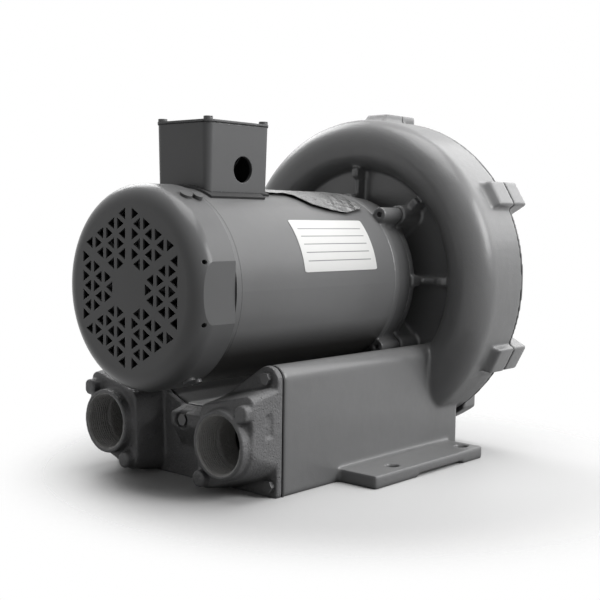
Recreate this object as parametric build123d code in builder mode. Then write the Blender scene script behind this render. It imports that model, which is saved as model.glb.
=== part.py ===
from build123d import *
import math
import os

os.makedirs("parts", exist_ok=True)

# Side channel blower with flange mounted motor.
# All sizes are millimetres. Z is up, the motor axis runs along Y, the ports and the motor fan face -Y.
# The origin is the centre of the foot bolt pattern, on the base plane.

# Driving sizes of the layout
axis_height = 166.4
seam_y = 104
box_front_y = -168
gasket_thickness = 1.5
plate_thickness = 6.5
shell_radius = 82.5
shell_wall = 2.5
shell_front_y = -200
shell_rear_y = 2
grille_y = -246

# Impeller chamber and side channel
channel_radius = 132.5
channel_inner = 19
casing_wall = 5.5
channel_start_y = 58
chamber_front_y = 63
lug_angles = [90, 31.2, 148.8, -27.4, 207.4, 270]
lug_half_width = 13.2
lug_radius = 164
lug_length = 25
lug_slope = 10
clamp_circle = 158
clamp_radius = 2.5
clamp_head_radius = 4.1
clamp_recess = 6
cover_depth = 22.5
cover_channel = 13.5
cover_flange = 3.2
bulge_radius = 161
stripper_half_angle = 14
passage_x = 60

# Base box and feet
box_half_width = 100
box_wall = 5.5
box_rear_y = 85
box_top = 106
foot_half_width = 140
foot_front_y = -98
foot_rear_y = 69
foot_thickness = 11.3
foot_hole_x = 125
foot_hole_y = 55
foot_hole_radius = 6
root_fillet = 3

# Ports and manifold cover
port_x = 70.3
port_z = 44.7
port_collar_radius = 28
port_thread_radius = 24.1
port_bore_radius = 22.8
port_face_y = -214
stub_face_y = -205
stub_draft = 9
port_boss_radius = 7
port_boss_dx = 23.5
port_boss_up = 27.5
port_boss_down = 31
cover_bolt_radius = 2.8
ledge_left_x = -13
ledge_right_x = 27
ledge_top = 62
ledge_depth = 13
middle_seat_depth = 8
cover_bolt_points = [(-88, 96), (88, 96), (-92, 9), (92, 9), (0, 52)]
bolt_clearance = 0.8

# Shaft, bearings and impeller
shaft_radius_fan_end = 8.5
shaft_radius_core = 17
shaft_radius_drive_end = 12.5
shaft_radius_seal = 12
shaft_radius_impeller = 9.5
fit = 0.05
fan_bearing_y = -194
fan_bearing_radius = 20
fan_bearing_width = 12
drive_bearing_y = 6
drive_bearing_radius = 26
drive_bearing_width = 15
impeller_front_y = 64
impeller_rear_y = 102.8
impeller_radius = 150.5
impeller_blade_root = 115
vane_count = 48
core_front_y = -118
core_rear_y = -34
rotor_radius = 44
air_gap = 0.5

# Hex heads: corner and washer face over the thread radius
hex_corner = 1.85
washer_face = 1.88

# Derived sizes
casing_radius = channel_radius + channel_inner + casing_wall
channel_outer = channel_inner + casing_wall
cavity_radius = channel_radius + channel_inner
cover_lug_middle = channel_radius + 20
channel_arc = 360 - 2 * stripper_half_angle
channel_turn = 180 + stripper_half_angle
root_sag = root_fillet * (1 - math.sqrt(0.5))
plate_rear_y = box_front_y - gasket_thickness
plate_front_y = plate_rear_y - plate_thickness
bolt_head_radius = cover_bolt_radius * washer_face
shell_bore = shell_radius - shell_wall
axis = Axis((0, 0, axis_height), (0, 1, 0))


def ring(start_y, end_y, outer, inner=0.0):
    """A turned ring or disc on the motor axis."""
    with BuildPart() as body:
        with BuildSketch(Plane.XZ.offset(-start_y)):
            with Locations((0, axis_height)):
                Circle(outer)
                if inner > 0:
                    Circle(inner, mode=Mode.SUBTRACT)
        extrude(amount=-(end_y - start_y))
    return body.part


def turned(points):
    """Revolve a closed half section, given as (y, radius) points, about the motor axis."""
    with BuildPart() as body:
        with BuildSketch(Plane.YZ):
            with BuildLine():
                Polyline([(y, axis_height + r) for y, r in points], close=True)
            make_face()
        revolve(axis=axis, revolution_arc=360)
    return body.part


def rod(start_y, end_y, radius, x, z):
    """A plain cylinder along Y."""
    with BuildPart() as body:
        with BuildSketch(Plane.XZ.offset(-start_y)):
            with Locations((x, z)):
                Circle(radius)
        extrude(amount=-(end_y - start_y))
    return body.part


def block(x0, x1, y0, y1, z0, z1):
    """A plain box between two corners."""
    with BuildPart() as body:
        with Locations(((x0 + x1) / 2, (y0 + y1) / 2, (z0 + z1) / 2)):
            Box(x1 - x0, y1 - y0, z1 - z0)
    return body.part


def polar(radius, angle):
    """X and Z of a point around the motor axis."""
    a = math.radians(angle)
    return radius * math.cos(a), axis_height + radius * math.sin(a)


def around(radius, angle):
    """Place in a sketch on the XZ plane, at an angle around the motor axis and turned with it."""
    x, z = polar(radius, angle)
    return Location((x, z, 0), (0, 0, angle))


def hex_bolt(head_y, tip_y, radius, x, z, head_side=-1):
    """Hex bolt along Y with its head under face at head_y and its tip at tip_y."""
    head = 1.3 * radius
    with BuildPart() as body:
        with BuildSketch(Plane.XZ.offset(-head_y)):
            with Locations((x, z)):
                Circle(radius)
        extrude(amount=-(tip_y - head_y))
        with BuildSketch(Plane.XZ.offset(-head_y)):
            with Locations((x, z)):
                RegularPolygon(radius=radius * hex_corner, side_count=6)
        extrude(amount=-head_side * head)
        with BuildSketch(Plane.XZ.offset(-head_y)):
            with Locations((x, z)):
                Circle(radius * washer_face)
        extrude(amount=-head_side * 1.2)
    return body.part


def save(part, name):
    part.label = name
    export_step(part, "parts/" + name + ".step")


# Casing section
# The half torus of the channel is a circle section, closed by the band up to the seam.
def channel_section(radius, straight_y, end_y, side, arc=360.0, start=0.0):
    """Revolved D section: half circle on one side, straight walls up to end_y."""
    tip = straight_y + side * radius
    low = axis_height + channel_radius - radius
    high = axis_height + channel_radius + radius
    with BuildPart() as body:
        with BuildSketch(Plane.YZ):
            with BuildLine():
                Line((end_y, low), (straight_y, low))
                ThreePointArc((straight_y, low), (tip, axis_height + channel_radius), (straight_y, high))
                Line((straight_y, high), (end_y, high))
                Line((end_y, high), (end_y, low))
            make_face()
        revolve(axis=axis, revolution_arc=arc)
    if start:
        return body.part.rotate(axis, start)
    return body.part


# Outline of the base box, seen along the motor axis
box_outline = [
    (box_half_width, 0), (box_half_width, box_top), (84, box_top), (28, 69), (13, 62.5),
    (-13, 62.5), (-28, 69), (-84, box_top), (-box_half_width, box_top), (-box_half_width, 0),
]


def box_body(start_y, end_y, inset):
    """The outline of the base box, drawn in by a wall thickness and run along Y."""
    with BuildPart() as body:
        with BuildSketch(Plane.XZ.offset(-start_y)) as outline:
            with BuildLine():
                Polyline(box_outline, close=True)
            make_face()
            fillet(outline.vertices().filter_by(lambda v: v.Y > 100 and abs(v.X) > 95), radius=12)
            fillet(outline.vertices().filter_by(lambda v: v.Y > 100 and abs(v.X) < 85), radius=9)
            if inset:
                offset(amount=-inset, kind=Kind.INTERSECTION)
        extrude(amount=-(end_y - start_y))
    return body.part


def clamp_lug(angle):
    """Lug on the seam at an angle around the motor axis. Its front end slopes down to the casing."""
    top = axis_height + lug_radius
    root = axis_height + casing_radius - 4
    slope_y = seam_y - lug_length
    with BuildPart() as body:
        with BuildSketch(Plane.YZ.offset(-lug_half_width)):
            with BuildLine():
                Polyline(
                    (slope_y - lug_slope, top - lug_slope), (slope_y, top), (seam_y, top),
                    (seam_y, root), (slope_y - lug_slope, root), close=True,
                )
            make_face()
        extrude(amount=2 * lug_half_width)
    return body.part.rotate(axis, 90 - angle)


casing_shell = channel_section(channel_outer, channel_start_y, seam_y, -1)
casing_web = ring(57, seam_y, channel_radius)
chamber = box_body(box_front_y, box_rear_y - box_wall, box_wall)
chamber = chamber - casing_shell - casing_web
divider = block(-4, 4, box_front_y, box_rear_y, 0, box_top)
flange_y = 30
hub_radius = 60
post_radius = 88

with BuildPart() as housing:
    add(casing_shell)
    add(casing_web)
    add(box_body(box_front_y, box_rear_y, 0))
    add(chamber, mode=Mode.SUBTRACT)
    add(divider & box_body(box_front_y, box_rear_y, 0))
    # Feet, one on each side, with a relieved middle on the underside
    foot_middle_x = (box_half_width + foot_half_width - 3) / 2
    foot_middle_y = (foot_front_y + foot_rear_y) / 2
    for side in (-1, 1):
        with BuildSketch(Plane.XY):
            with Locations((side * foot_middle_x, foot_middle_y)):
                RectangleRounded(foot_half_width - box_half_width + 3, foot_rear_y - foot_front_y, 2)
        extrude(amount=foot_thickness)
        with Locations((side * (foot_half_width + 10), 0, 0)):
            Box(40, 72, 5, mode=Mode.SUBTRACT)
        with BuildSketch(Plane.XY):
            with Locations((side * foot_hole_x, -foot_hole_y), (side * foot_hole_x, foot_hole_y)):
                Circle(foot_hole_radius)
        extrude(amount=foot_thickness, mode=Mode.SUBTRACT)
    # Root fillet between the box sides and the feet
    for side in (-1, 1):
        root_x = side * (box_half_width - 2)
        wall_x = side * box_half_width
        toe_x = side * (box_half_width + root_fillet)
        with BuildSketch(Plane.XZ.offset(-foot_front_y - 3)):
            with BuildLine():
                Line((root_x, foot_thickness - 2), (root_x, foot_thickness + root_fillet))
                Line((root_x, foot_thickness + root_fillet), (wall_x, foot_thickness + root_fillet))
                ThreePointArc(
                    (wall_x, foot_thickness + root_fillet),
                    (side * (box_half_width + root_sag), foot_thickness + root_sag),
                    (toe_x, foot_thickness),
                )
                Line((toe_x, foot_thickness), (toe_x, foot_thickness - 2))
                Line((toe_x, foot_thickness - 2), (root_x, foot_thickness - 2))
            make_face()
        extrude(amount=-(foot_rear_y - foot_front_y - 6))
    # Bosses for the bolts of the manifold cover
    for x, z in cover_bolt_points:
        add(rod(box_front_y, box_front_y + 26, 9, x, z) & box_body(box_front_y, box_rear_y, 0))
    # Clamp lugs on the seam
    for angle in lug_angles:
        add(clamp_lug(angle))
    # Mounting hub for the motor: flange, tube, four posts, ribs and small blocks
    add(ring(38, 58, hub_radius, 52))
    add(ring(flange_y, 38, shell_radius - 3, 52))
    for k in range(4):
        px, pz = polar(post_radius, 45 + 90 * k)
        add(rod(flange_y, 58, 9.5, px, pz))
        with BuildSketch(Plane.XZ.offset(-(flange_y + 2))):
            with Locations(around(72, 45 + 90 * k)):
                Rectangle(34, 17)
        extrude(amount=-26)
        with BuildSketch(Plane.XZ.offset(-45)):
            with Locations(around(84, 90 * k)):
                Rectangle(54, 6)
        extrude(amount=-13)
    for k in range(8):
        with BuildSketch(Plane.XZ.offset(-(42 if k % 2 == 0 else 40))):
            with Locations(around(104, 45 * k)):
                Rectangle(9, 8)
        extrude(amount=-16)
    for k in range(4):
        with BuildSketch(Plane.XZ.offset(-flange_y)):
            with Locations(around(78, 90 * k)):
                Rectangle(10, 10)
        extrude(amount=-12)
    # Seal boss in the middle of the web
    add(ring(48, 58, 28))
    # Impeller chamber and the side channel, which stops at the stripper land at the bottom
    add(ring(chamber_front_y, seam_y, cavity_radius), mode=Mode.SUBTRACT)
    channel_cut = channel_section(
        channel_inner, channel_start_y + 3, seam_y, -1, channel_arc, channel_turn
    )
    add(channel_cut, mode=Mode.SUBTRACT)
    # Passages from the channel into the two muffler chambers
    for side in (-1, 1):
        passage = block(side * passage_x - 14, side * passage_x + 14, 26, channel_start_y + 3, 30, 66)
        add(passage, mode=Mode.SUBTRACT)
    # Bores
    add(ring(40, 70, shaft_radius_seal + 2), mode=Mode.SUBTRACT)
    add(ring(47, 56, 19), mode=Mode.SUBTRACT)
    add(ring(flange_y - 2, 34, 57.3), mode=Mode.SUBTRACT)
    # Threaded holes
    for x, z in cover_bolt_points:
        add(rod(box_front_y - 1, box_front_y + 20, cover_bolt_radius + fit, x, z), mode=Mode.SUBTRACT)
    for k in range(4):
        px, pz = polar(post_radius, 45 + 90 * k)
        add(rod(flange_y - 1, 52, 2.6 + fit, px, pz), mode=Mode.SUBTRACT)
    for angle in lug_angles:
        lx, lz = polar(clamp_circle, angle)
        add(rod(seam_y - 20, seam_y + 1, clamp_radius + fit, lx, lz), mode=Mode.SUBTRACT)
    # Nothing of the casting reaches below the base plane
    with Locations((0, 0, -25)):
        Box(600, 900, 50, mode=Mode.SUBTRACT)
save(housing.part, "impeller_housing")


# Rear cover with its own half of the channel, clamp lugs and cooling ribs
with BuildPart() as cover:
    add(channel_section(cover_channel + casing_wall, seam_y + 1, seam_y, 1))
    add(ring(seam_y, seam_y + cover_flange, casing_radius))
    add(ring(seam_y, seam_y + 9, channel_radius))
    add(ring(seam_y, seam_y + 19, 32))
    for k in range(8):
        with BuildSketch(Plane.XZ.offset(-(seam_y + 8))):
            with Locations(around(70, 45 * k)):
                Rectangle(84, 5)
        extrude(amount=-9)
    for angle in lug_angles:
        with BuildSketch(Plane.XZ.offset(-seam_y)):
            with Locations(around(cover_lug_middle, angle)):
                RectangleRounded(2 * (lug_radius - cover_lug_middle), 2 * lug_half_width, 2)
        extrude(amount=-cover_depth)
    # Bulge at the bottom, outside the stripper
    bulge_end = seam_y + cover_depth
    add(ring(seam_y, bulge_end, bulge_radius, 130) & block(-95.5, 95.5, seam_y, bulge_end, 2, 54))
    cover_cut = channel_section(cover_channel, seam_y + 1, seam_y - 1, 1, channel_arc, channel_turn)
    add(cover_cut, mode=Mode.SUBTRACT)
    add(ring(seam_y - 1, seam_y + 14, 22), mode=Mode.SUBTRACT)
    for angle in lug_angles:
        lx, lz = polar(clamp_circle, angle)
        add(rod(seam_y - 1, seam_y + cover_depth + 1, clamp_radius + 0.2, lx, lz), mode=Mode.SUBTRACT)
        head_face = seam_y + cover_depth - clamp_recess
        add(rod(head_face, seam_y + cover_depth + 9, clamp_head_radius + 0.3, lx, lz), mode=Mode.SUBTRACT)
    with Locations((0, 0, -25)):
        Box(600, 900, 50, mode=Mode.SUBTRACT)
save(cover.part, "rear_cover")

with BuildPart() as clamp_bolts:
    for angle in lug_angles:
        lx, lz = polar(clamp_circle, angle)
        head_face = seam_y + cover_depth - clamp_recess
        add(rod(seam_y - 18, head_face + 1, clamp_radius, lx, lz))
        add(rod(head_face, head_face + 5, clamp_head_radius, lx, lz))
        with BuildSketch(Plane.XZ.offset(-(head_face + 2.5))):
            with Locations((lx, lz)):
                RegularPolygon(radius=2.3, side_count=6)
        extrude(amount=-4, mode=Mode.SUBTRACT)
save(clamp_bolts.part, "casing_clamp_bolts")

# Manifold gasket and cover
with BuildPart() as gasket:
    add(box_body(plate_rear_y, box_front_y, 0))
    for side in (-1, 1):
        inner = box_body(plate_rear_y, box_front_y, box_wall) & block(
            side * 54 - 50, side * 54 + 50, plate_rear_y, box_front_y, 0, 120
        )
        for x, z in cover_bolt_points:
            inner = inner - rod(plate_rear_y, box_front_y, 9, x, z)
        add(inner, mode=Mode.SUBTRACT)
    for x, z in cover_bolt_points:
        add(rod(plate_rear_y, box_front_y, cover_bolt_radius + 0.4, x, z), mode=Mode.SUBTRACT)
save(gasket.part, "manifold_gasket")

with BuildPart() as manifold:
    add(box_body(plate_front_y, plate_rear_y, 0))
    for side in (-1, 1):
        # Stub outline: hull around the port, its two bosses and the outer side face
        with BuildSketch(Plane.XZ.offset(-stub_face_y)):
            with Locations((side * port_x, port_z)):
                Circle(port_collar_radius + 2)
            with Locations((side * 93, 78), (side * 93, 40)):
                Circle(7)
            with Locations((side * (port_x - port_boss_dx), port_z - port_boss_down)):
                Circle(port_boss_radius + 2)
            with Locations((side * (port_x - 22), 66)):
                Circle(8)
            make_hull()
        extrude(amount=-(plate_front_y - stub_face_y + 1), taper=-stub_draft)
        with BuildSketch(Plane.XZ.offset(-port_face_y)):
            with Locations((side * port_x, port_z)):
                Circle(port_collar_radius)
        extrude(amount=-20)
        with BuildSketch(Plane.XZ.offset(-(port_face_y + 1))):
            with Locations(
                (side * (port_x + port_boss_dx), port_z + port_boss_up),
                (side * (port_x - port_boss_dx), port_z - port_boss_down),
            ):
                Circle(port_boss_radius)
        extrude(amount=-20)
        # Pocket in the outer side face
        with Locations((side * box_half_width, stub_face_y + 19, 60)):
            Box(3, 9, 19, mode=Mode.SUBTRACT)
    # The draft of the stubs stays inside the outline of the plate
    add(box_body(port_face_y - 5, plate_rear_y, 0), mode=Mode.INTERSECT)
    # Boss of the middle bolt, with a sloped ledge under the motor and a pocket for the head
    with BuildSketch(Plane.YZ.offset(ledge_left_x)):
        with BuildLine():
            Polyline(
                (plate_front_y + 1, 28), (plate_front_y + 1, ledge_top), (plate_front_y, ledge_top),
                (plate_front_y - ledge_depth, ledge_top - 4), (plate_front_y - ledge_depth, 48),
                (plate_front_y, 28), close=True,
            )
        make_face()
    extrude(amount=ledge_right_x - ledge_left_x)
    middle_x, middle_z = cover_bolt_points[-1]
    middle_seat_y = plate_front_y - middle_seat_depth
    add(rod(plate_front_y - 20, middle_seat_y, 7.6, middle_x, middle_z), mode=Mode.SUBTRACT)
    # Spot faces for the corner bolts
    for x, z in cover_bolt_points[:-1]:
        spot_face = rod(plate_front_y - 8, plate_front_y, bolt_head_radius + bolt_clearance, x, z)
        add(spot_face, mode=Mode.SUBTRACT)
    for side in (-1, 1):
        thread = rod(port_face_y - 1, port_face_y + 24, port_thread_radius, side * port_x, port_z)
        bore = rod(port_face_y, plate_rear_y + 1, port_bore_radius, side * port_x, port_z)
        add(thread, mode=Mode.SUBTRACT)
        add(bore, mode=Mode.SUBTRACT)
    for x, z in cover_bolt_points:
        add(rod(middle_seat_y, plate_rear_y + 1, cover_bolt_radius + 0.4, x, z), mode=Mode.SUBTRACT)
    with Locations((0, 0, -25)):
        Box(600, 900, 50, mode=Mode.SUBTRACT)
save(manifold.part, "manifold_cover")

with BuildPart() as manifold_bolts:
    for x, z in cover_bolt_points:
        head_y = middle_seat_y if x == middle_x else plate_front_y
        add(hex_bolt(head_y, box_front_y + 16, cover_bolt_radius, x, z, -1))
save(manifold_bolts.part, "manifold_bolts")

# Foam liners of the two muffler chambers
for side, side_name in ((-1, "left"), (1, "right")):
    with BuildPart() as liner:
        add(box_body(-140, 22, box_wall + 0.3))
        add(box_body(-141, 23, box_wall + 9), mode=Mode.SUBTRACT)
        add(block(side * 54 - 49.7, side * 54 + 49.7, -140, 22, 0, 120), mode=Mode.INTERSECT)
    save(liner.part, "muffler_liner_" + side_name)


def radial_plane(radius, y, angle):
    """Plane at a point around the motor axis, facing outward."""
    x, z = polar(radius, angle)
    a = math.radians(angle)
    return Plane(origin=(x, y, z), x_dir=(0, 1, 0), z_dir=(math.cos(a), 0, math.sin(a)))


def radial_rod(inner, outer, y, angle, radius):
    """A plain cylinder that points away from the motor axis."""
    with BuildPart() as body:
        with BuildSketch(radial_plane(inner, y, angle)):
            Circle(radius)
        extrude(amount=outer - inner)
    return body.part


def curved_plate(start_y, end_y, inner, outer, angle, arc):
    """A thin plate that follows the motor shell from one angle downwards."""
    with BuildPart() as body:
        with BuildSketch(Plane.YZ):
            with Locations(((start_y + end_y) / 2, axis_height + (inner + outer) / 2)):
                Rectangle(end_y - start_y, outer - inner)
        revolve(axis=axis, revolution_arc=arc)
    return body.part.rotate(axis, 90 - angle)


# Motor shell and end bells
lead_hole_y = -152
box_screw_y = (-180, -127)
through_bolt_radius = 2.5
through_bolt_circle = 76.6
through_bolt_angles = [22.5, 112.5, 202.5, 292.5]
bell_gap = 0.05
shroud_radius = 84.6
shroud_wall = 2
pad_x = 81
bell_flat_x = pad_x - shroud_wall - 0.3
pad_half_height = 27
shroud_rear_y = -206
shroud_screw_y = -211
shroud_screw_angles = [60, 120, 240, 300]

with BuildPart() as shell:
    add(ring(shell_front_y, shell_rear_y, shell_radius, shell_bore))
    add(radial_rod(shell_bore - 5, shell_radius + 5, lead_hole_y, 90, 10), mode=Mode.SUBTRACT)
    for y in box_screw_y:
        add(radial_rod(shell_bore - 5, shell_radius + 5, y, 90, 2.5 + fit), mode=Mode.SUBTRACT)
save(shell.part, "motor_shell")

with BuildPart() as fan_bell:
    add(ring(-214, shell_front_y, shell_radius - 0.1, 75))
    add(ring(shell_front_y - 0.5, -194, shell_bore - bell_gap, 74))
    add(ring(-206, shell_front_y, 76))
    add(ring(-206, fan_bearing_y + fan_bearing_width + 1, fan_bearing_radius + 7))
    for k in range(6):
        rib_x, rib_z = polar(50, 60 * k)
        with BuildSketch(Plane.XZ.offset(-shell_front_y)):
            with Locations(Location((rib_x, rib_z, 0), (0, 0, 60 * k))):
                Rectangle(56, 4)
        extrude(amount=-10)
    # Room for the flats of the fan shroud
    for side in (-1, 1):
        flat_room = block(
            side * (bell_flat_x + 10) - 10, side * (bell_flat_x + 10) + 10,
            -215, shroud_rear_y + 0.2, axis_height - 70, axis_height + 70,
        )
        add(flat_room, mode=Mode.SUBTRACT)
    bell_bore = ring(fan_bearing_y, fan_bearing_y + fan_bearing_width + 2, fan_bearing_radius + fit)
    add(bell_bore, mode=Mode.SUBTRACT)
    add(ring(-207, fan_bearing_y, 12), mode=Mode.SUBTRACT)
    for angle in through_bolt_angles:
        bx, bz = polar(through_bolt_circle, angle)
        add(rod(-207, -193, through_bolt_radius + 0.2, bx, bz), mode=Mode.SUBTRACT)
        add(rod(-215, -206, 4.8, bx, bz), mode=Mode.SUBTRACT)
    for angle in shroud_screw_angles:
        add(radial_rod(72, 86, shroud_screw_y, angle, 2 + fit), mode=Mode.SUBTRACT)
save(fan_bell.part, "fan_end_bell")

with BuildPart() as drive_bell:
    add(ring(-6, 2.5, shell_bore - bell_gap, 72))
    add(ring(shell_rear_y, 10, shell_radius))
    add(ring(10, 30, 80, 69))
    add(ring(24, 30, 80))
    add(ring(30, 33.5, 57.2, 50))
    add(ring(-4, 25, drive_bearing_radius + 7))
    for k in range(4):
        ear_x, ear_z = polar(post_radius, 45 + 90 * k)
        add(rod(shell_rear_y, flange_y, 7, ear_x, ear_z))
        arm_x, arm_z = polar(80, 45 + 90 * k)
        with BuildSketch(Plane.XZ.offset(-(shell_rear_y + 2))):
            with Locations(Location((arm_x, arm_z, 0), (0, 0, 45 + 90 * k))):
                Rectangle(18, 13)
        extrude(amount=-(flange_y - shell_rear_y - 2))
    drive_bore = ring(-5, drive_bearing_y + drive_bearing_width, drive_bearing_radius + fit)
    add(drive_bore, mode=Mode.SUBTRACT)
    add(ring(20, 34, 16), mode=Mode.SUBTRACT)
    for k in range(4):
        ear_x, ear_z = polar(post_radius, 45 + 90 * k)
        add(rod(1, 31, 2.7, ear_x, ear_z), mode=Mode.SUBTRACT)
    for angle in through_bolt_angles:
        bx, bz = polar(through_bolt_circle, angle)
        add(rod(-7, 9, through_bolt_radius + fit, bx, bz), mode=Mode.SUBTRACT)
save(drive_bell.part, "drive_end_bell")

with BuildPart() as mount_studs:
    for k in range(4):
        ear_x, ear_z = polar(post_radius, 45 + 90 * k)
        add(rod(9, 50, 2.6, ear_x, ear_z))
save(mount_studs.part, "motor_mount_studs")

with BuildPart() as through_bolts:
    for angle in through_bolt_angles:
        bx, bz = polar(through_bolt_circle, angle)
        add(rod(-206, 8, through_bolt_radius, bx, bz))
        with BuildSketch(Plane.XZ.offset(206)):
            with Locations((bx, bz)):
                RegularPolygon(radius=4.2, side_count=6)
        extrude(amount=3)
save(through_bolts.part, "motor_through_bolts")

# Stator
slot_count = 24
with BuildPart() as stator:
    with BuildSketch(Plane.XZ.offset(-core_front_y)):
        with Locations((0, axis_height)):
            Circle(shell_bore)
            Circle(rotor_radius + air_gap, mode=Mode.SUBTRACT)
        with Locations((0, axis_height)):
            with PolarLocations(57, slot_count):
                Rectangle(18, 6.4, mode=Mode.SUBTRACT)
            with PolarLocations(47, slot_count):
                Rectangle(8, 2.4, mode=Mode.SUBTRACT)
            with PolarLocations(through_bolt_circle, 4, start_angle=22.5):
                Circle(3.2, mode=Mode.SUBTRACT)
    extrude(amount=-(core_rear_y - core_front_y))
save(stator.part, "stator_core")

with BuildPart() as winding:
    add(ring(-148, core_front_y - 0.3, 72, 49))
    add(ring(core_rear_y + 0.3, -8, 71, 49))
    with BuildSketch(Plane.XZ.offset(-(core_front_y - 2))):
        with Locations((0, axis_height)):
            with PolarLocations(57.25, slot_count):
                Rectangle(16.9, 5.8)
    extrude(amount=-(core_rear_y - core_front_y + 4))
save(winding.part, "stator_winding")

# Rotor
with BuildPart() as shaft:
    add(turned([
        (-240, 0), (-240, 7.5), (-206, 7.5), (-206, shaft_radius_fan_end), (-176, shaft_radius_fan_end),
        (-176, 12), (-150, 12), (-150, shaft_radius_core), (-14, shaft_radius_core), (-14, 15.5),
        (drive_bearing_y, 15.5), (drive_bearing_y, shaft_radius_drive_end), (22, shaft_radius_drive_end),
        (22, shaft_radius_seal), (64.5, shaft_radius_seal), (64.5, shaft_radius_impeller),
        (97, shaft_radius_impeller), (97, 0),
    ]))
    add(block(-2.5, 2.5, 71, 93, axis_height + 6.8, axis_height + 14), mode=Mode.SUBTRACT)
    add(rod(74, 98, 4 + fit, 0, axis_height), mode=Mode.SUBTRACT)
save(shaft.part, "motor_shaft")

bar_count = 28
with BuildPart() as rotor_core:
    with BuildSketch(Plane.XZ.offset(-core_front_y)):
        with Locations((0, axis_height)):
            Circle(rotor_radius)
            Circle(shaft_radius_core, mode=Mode.SUBTRACT)
            with PolarLocations(38.5, bar_count):
                Circle(2.6, mode=Mode.SUBTRACT)
    extrude(amount=-(core_rear_y - core_front_y))
save(rotor_core.part, "rotor_core")

with BuildPart() as rotor_cage:
    add(ring(core_front_y - 8, core_front_y, 43, 30))
    add(ring(core_rear_y, core_rear_y + 8, 43, 30))
    with BuildSketch(Plane.XZ.offset(-(core_front_y - 1))):
        with Locations((0, axis_height)):
            with PolarLocations(38.5, bar_count):
                Circle(2.6)
    extrude(amount=-(core_rear_y - core_front_y + 2))
    for start, direction in ((core_front_y - 8, 1), (core_rear_y + 8, -1)):
        with BuildSketch(Plane.XZ.offset(-start)):
            with Locations((0, axis_height)):
                with PolarLocations(36.5, 8):
                    Rectangle(11, 2.5)
        extrude(amount=direction * 12)
save(rotor_cage.part, "rotor_cage")


# Bearings: two grooved rings, a set of balls and the cage that spaces them
def groove(centre_y, centre_radius, radius):
    with BuildPart() as body:
        with BuildSketch(Plane.YZ):
            with Locations((centre_y, axis_height + centre_radius)):
                Circle(radius)
        revolve(axis=axis, revolution_arc=360)
    return body.part


def bearing(name, start_y, width, bore, outer, ball_radius, ball_count):
    middle = start_y + width / 2
    pitch = (bore + outer) / 2
    track = groove(middle, pitch, ball_radius + 0.3)
    with BuildPart() as outer_ring:
        add(ring(start_y, start_y + width, outer, pitch + 0.6 * ball_radius))
        add(track, mode=Mode.SUBTRACT)
    with BuildPart() as inner_ring:
        add(ring(start_y, start_y + width, pitch - 0.6 * ball_radius, bore))
        add(track, mode=Mode.SUBTRACT)
    step = 360 / ball_count
    with BuildPart() as balls:
        for k in range(ball_count):
            bx, bz = polar(pitch, (k + 0.5) * step)
            with Locations((bx, middle, bz)):
                Sphere(ball_radius)
    with BuildPart() as cage:
        add(ring(middle - 1.3 * ball_radius, middle + 1.3 * ball_radius, pitch + 0.8, pitch - 0.8))
        for k in range(ball_count):
            pocket = radial_rod(pitch - 4, pitch + 4, middle, (k + 0.5) * step, ball_radius + 0.08)
            add(pocket, mode=Mode.SUBTRACT)
    save(outer_ring.part, name + "_outer")
    save(inner_ring.part, name + "_inner")
    save(cage.part, name + "_cage")
    save(balls.part, name + "_balls")


bearing(
    "fan_end_bearing", fan_bearing_y, fan_bearing_width,
    shaft_radius_fan_end, fan_bearing_radius, 3.3, 8,
)
bearing(
    "drive_end_bearing", drive_bearing_y, drive_bearing_width,
    shaft_radius_drive_end, drive_bearing_radius, 3.9, 9,
)

with BuildPart() as preload:
    add(ring(fan_bearing_y + fan_bearing_width, fan_bearing_y + fan_bearing_width + 0.8, 19.5, 15))
save(preload.part, "bearing_preload_washer")

with BuildPart() as seal:
    add(ring(47, 55, 19, shaft_radius_seal + 0.08))
    add(ring(49, 56, 17.5, 14.5), mode=Mode.SUBTRACT)
save(seal.part, "shaft_seal")

# Impeller, with vanes on both sides of its rim
with BuildPart() as impeller:
    add(ring(66, 98, 30))
    add(ring(80, 87, impeller_blade_root + 1))
    add(ring(impeller_front_y, impeller_rear_y, impeller_blade_root + 0.5, impeller_blade_root - 5))
    add(ring(81.5, 85.3, impeller_radius, impeller_blade_root - 1))
    with BuildSketch(Plane.XZ.offset(-impeller_front_y)):
        with Locations((0, axis_height)):
            with PolarLocations((impeller_blade_root + impeller_radius) / 2 - 0.5, vane_count):
                Rectangle(impeller_radius - impeller_blade_root, 2.6)
    extrude(amount=-(impeller_rear_y - impeller_front_y))
    for k in range(6):
        hole_x, hole_z = polar(72, 30 + 60 * k)
        add(rod(78, 90, 11, hole_x, hole_z), mode=Mode.SUBTRACT)
    add(ring(60, 104, shaft_radius_impeller + fit), mode=Mode.SUBTRACT)
    add(block(-2.5, 2.5, 60, 104, axis_height, axis_height + 12), mode=Mode.SUBTRACT)
save(impeller.part, "impeller")

with BuildPart() as key:
    add(block(-2.45, 2.45, 71.5, 92.5, axis_height + 6.85, axis_height + 11.9))
save(key.part, "impeller_key")

with BuildPart() as shims:
    add(ring(64.5, 66, 13, shaft_radius_impeller + fit))
save(shims.part, "impeller_shims")

with BuildPart() as washer:
    add(ring(98, 100.5, 15, 4.2))
save(washer.part, "impeller_washer")

with BuildPart() as impeller_bolt:
    add(hex_bolt(100.5, 78, 4, 0, axis_height, 1))
save(impeller_bolt.part, "impeller_bolt")

# Motor fan and shroud
with BuildPart() as fan:
    add(ring(-241, -214, 12.5, 7.5 + fit))
    add(ring(-216.5, -214, 46, 10))
    with BuildSketch(Plane.XZ.offset(235)):
        with Locations((0, axis_height)):
            with PolarLocations(41, 8):
                Rectangle(60, 2.2)
    extrude(amount=-20)
save(fan.part, "cooling_fan")

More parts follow.
